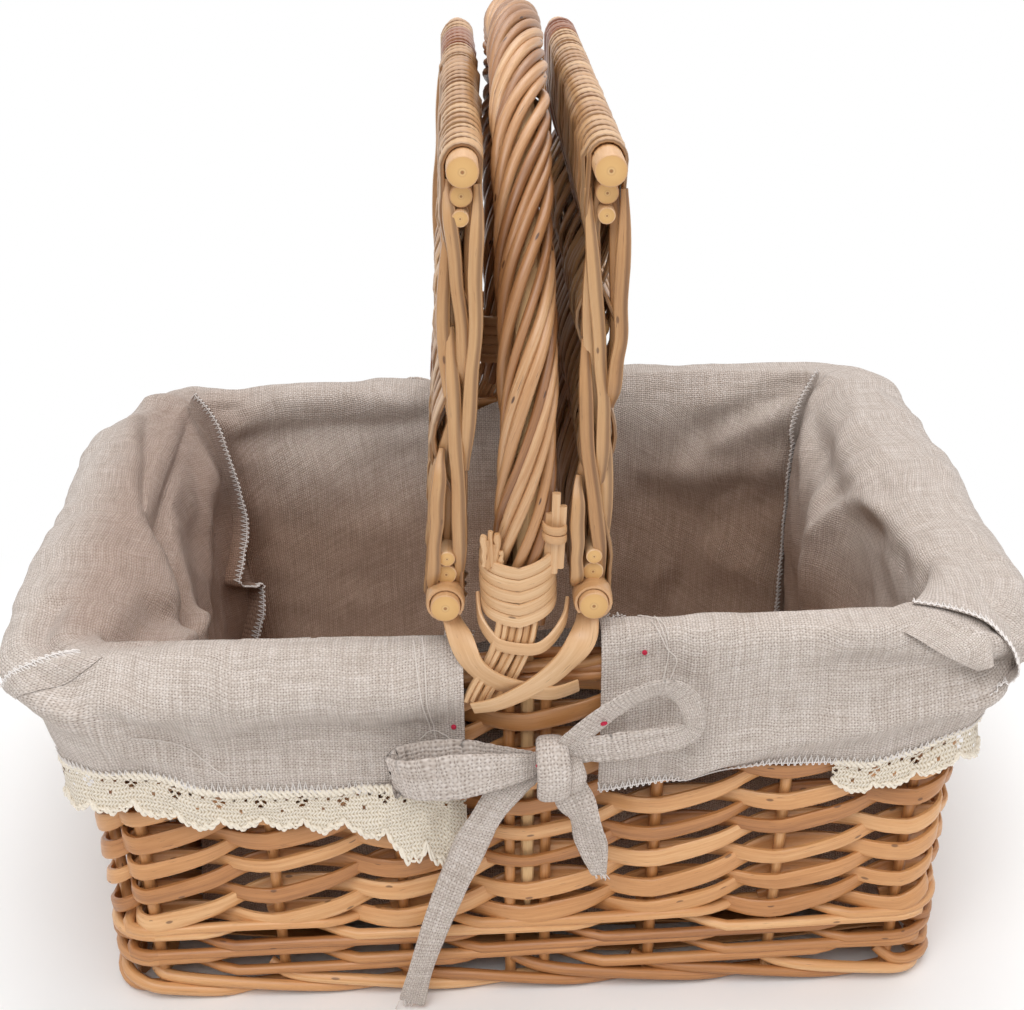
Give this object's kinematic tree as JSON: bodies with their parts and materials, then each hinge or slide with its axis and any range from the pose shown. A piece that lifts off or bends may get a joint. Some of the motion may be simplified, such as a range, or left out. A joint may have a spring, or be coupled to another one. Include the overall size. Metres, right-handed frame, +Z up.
{
  "type": "picnic basket",
  "caption": "Rectangular woven willow picnic basket with a roped arch handle, twin hinged lids and a linen liner with lace edging tied by bows.",
  "frame": {"origin": "under the middle of the foot, on the surface that the basket stands on", "axes": "+Z up, X along the basket's length from left to right, front towards -Y"},
  "size_m": [0.453, 0.3536, 0.4338],
  "materials": {
    "willow": "satin varnish",
    "pale_willow": "satin varnish",
    "linen": "matt woven",
    "lace": "matt crochet"
  },
  "bodies": {
    "basket": {"foot_border": "willow", "base_end_stick_left": "willow", "base_stick_left": "willow", "base_stick_right": "willow", "base_end_stick_right": "willow", "base_weaver": "willow", "foot_wale_a": "willow", "side_weaver_a": "willow", "foot_wale_b": "willow", "side_weaver_b": "willow", "front_wall_frame": "willow", "right_wall_frame": "willow", "back_wall_frame": "willow", "left_wall_frame": "willow", "handle_core": "pale_willow", "handle_rope_rod_1": "pale_willow", "handle_rope_rod_2": "pale_willow", "handle_rope_rod_3": "pale_willow", "handle_rope_rod_4": "pale_willow", "handle_rope_rod_5": "pale_willow", "handle_rope_rod_6": "pale_willow", "handle_rope_rod_7": "pale_willow", "handle_rope_rod_8": "pale_willow", "front_binding": "pale_willow", "front_foot_rods": "pale_willow", "front_left_strap": "pale_willow", "front_right_strap": "pale_willow", "back_binding": "pale_willow", "back_foot_rods": "pale_willow", "back_right_strap": "pale_willow", "back_left_strap": "pale_willow", "liner_front": "linen", "liner_right": "linen", "liner_back": "linen", "liner_left": "linen", "liner_bottom": "linen", "liner_skirt_right": "linen", "lace_right": "lace", "liner_skirt_left": "linen", "lace_left": "lace", "front_bow": "linen", "back_bow": "linen"},
    "left_lid": {"left_lid_hinge_stick": "pale_willow", "left_lid_inner_stick_1": "pale_willow", "left_lid_inner_stick_2": "pale_willow", "left_lid_middle_stick_1": "pale_willow", "left_lid_middle_stick_2": "pale_willow", "left_lid_outer_stick_3": "pale_willow", "left_lid_outer_stick_2": "pale_willow", "left_lid_outer_stick_1": "pale_willow", "left_lid_weaver": "pale_willow"},
    "right_lid": {"right_lid_hinge_stick": "pale_willow", "right_lid_inner_stick_1": "pale_willow", "right_lid_inner_stick_2": "pale_willow", "right_lid_middle_stick_1": "pale_willow", "right_lid_middle_stick_2": "pale_willow", "right_lid_outer_stick_3": "pale_willow", "right_lid_outer_stick_2": "pale_willow", "right_lid_outer_stick_1": "pale_willow", "right_lid_weaver": "pale_willow"}
  },
  "joints": [
    {"name": "left_lid_hinge", "type": "hinge", "parent": "basket", "child": "left_lid", "pos_m": [-0.0345, 0, 0.212], "axis": [0, -1, 0], "range_deg": [0, 93.2]},
    {"name": "right_lid_hinge", "type": "hinge", "parent": "basket", "child": "right_lid", "pos_m": [0.027, 0, 0.212], "axis": [0, 1, 0], "range_deg": [0, 89]}
  ]
}
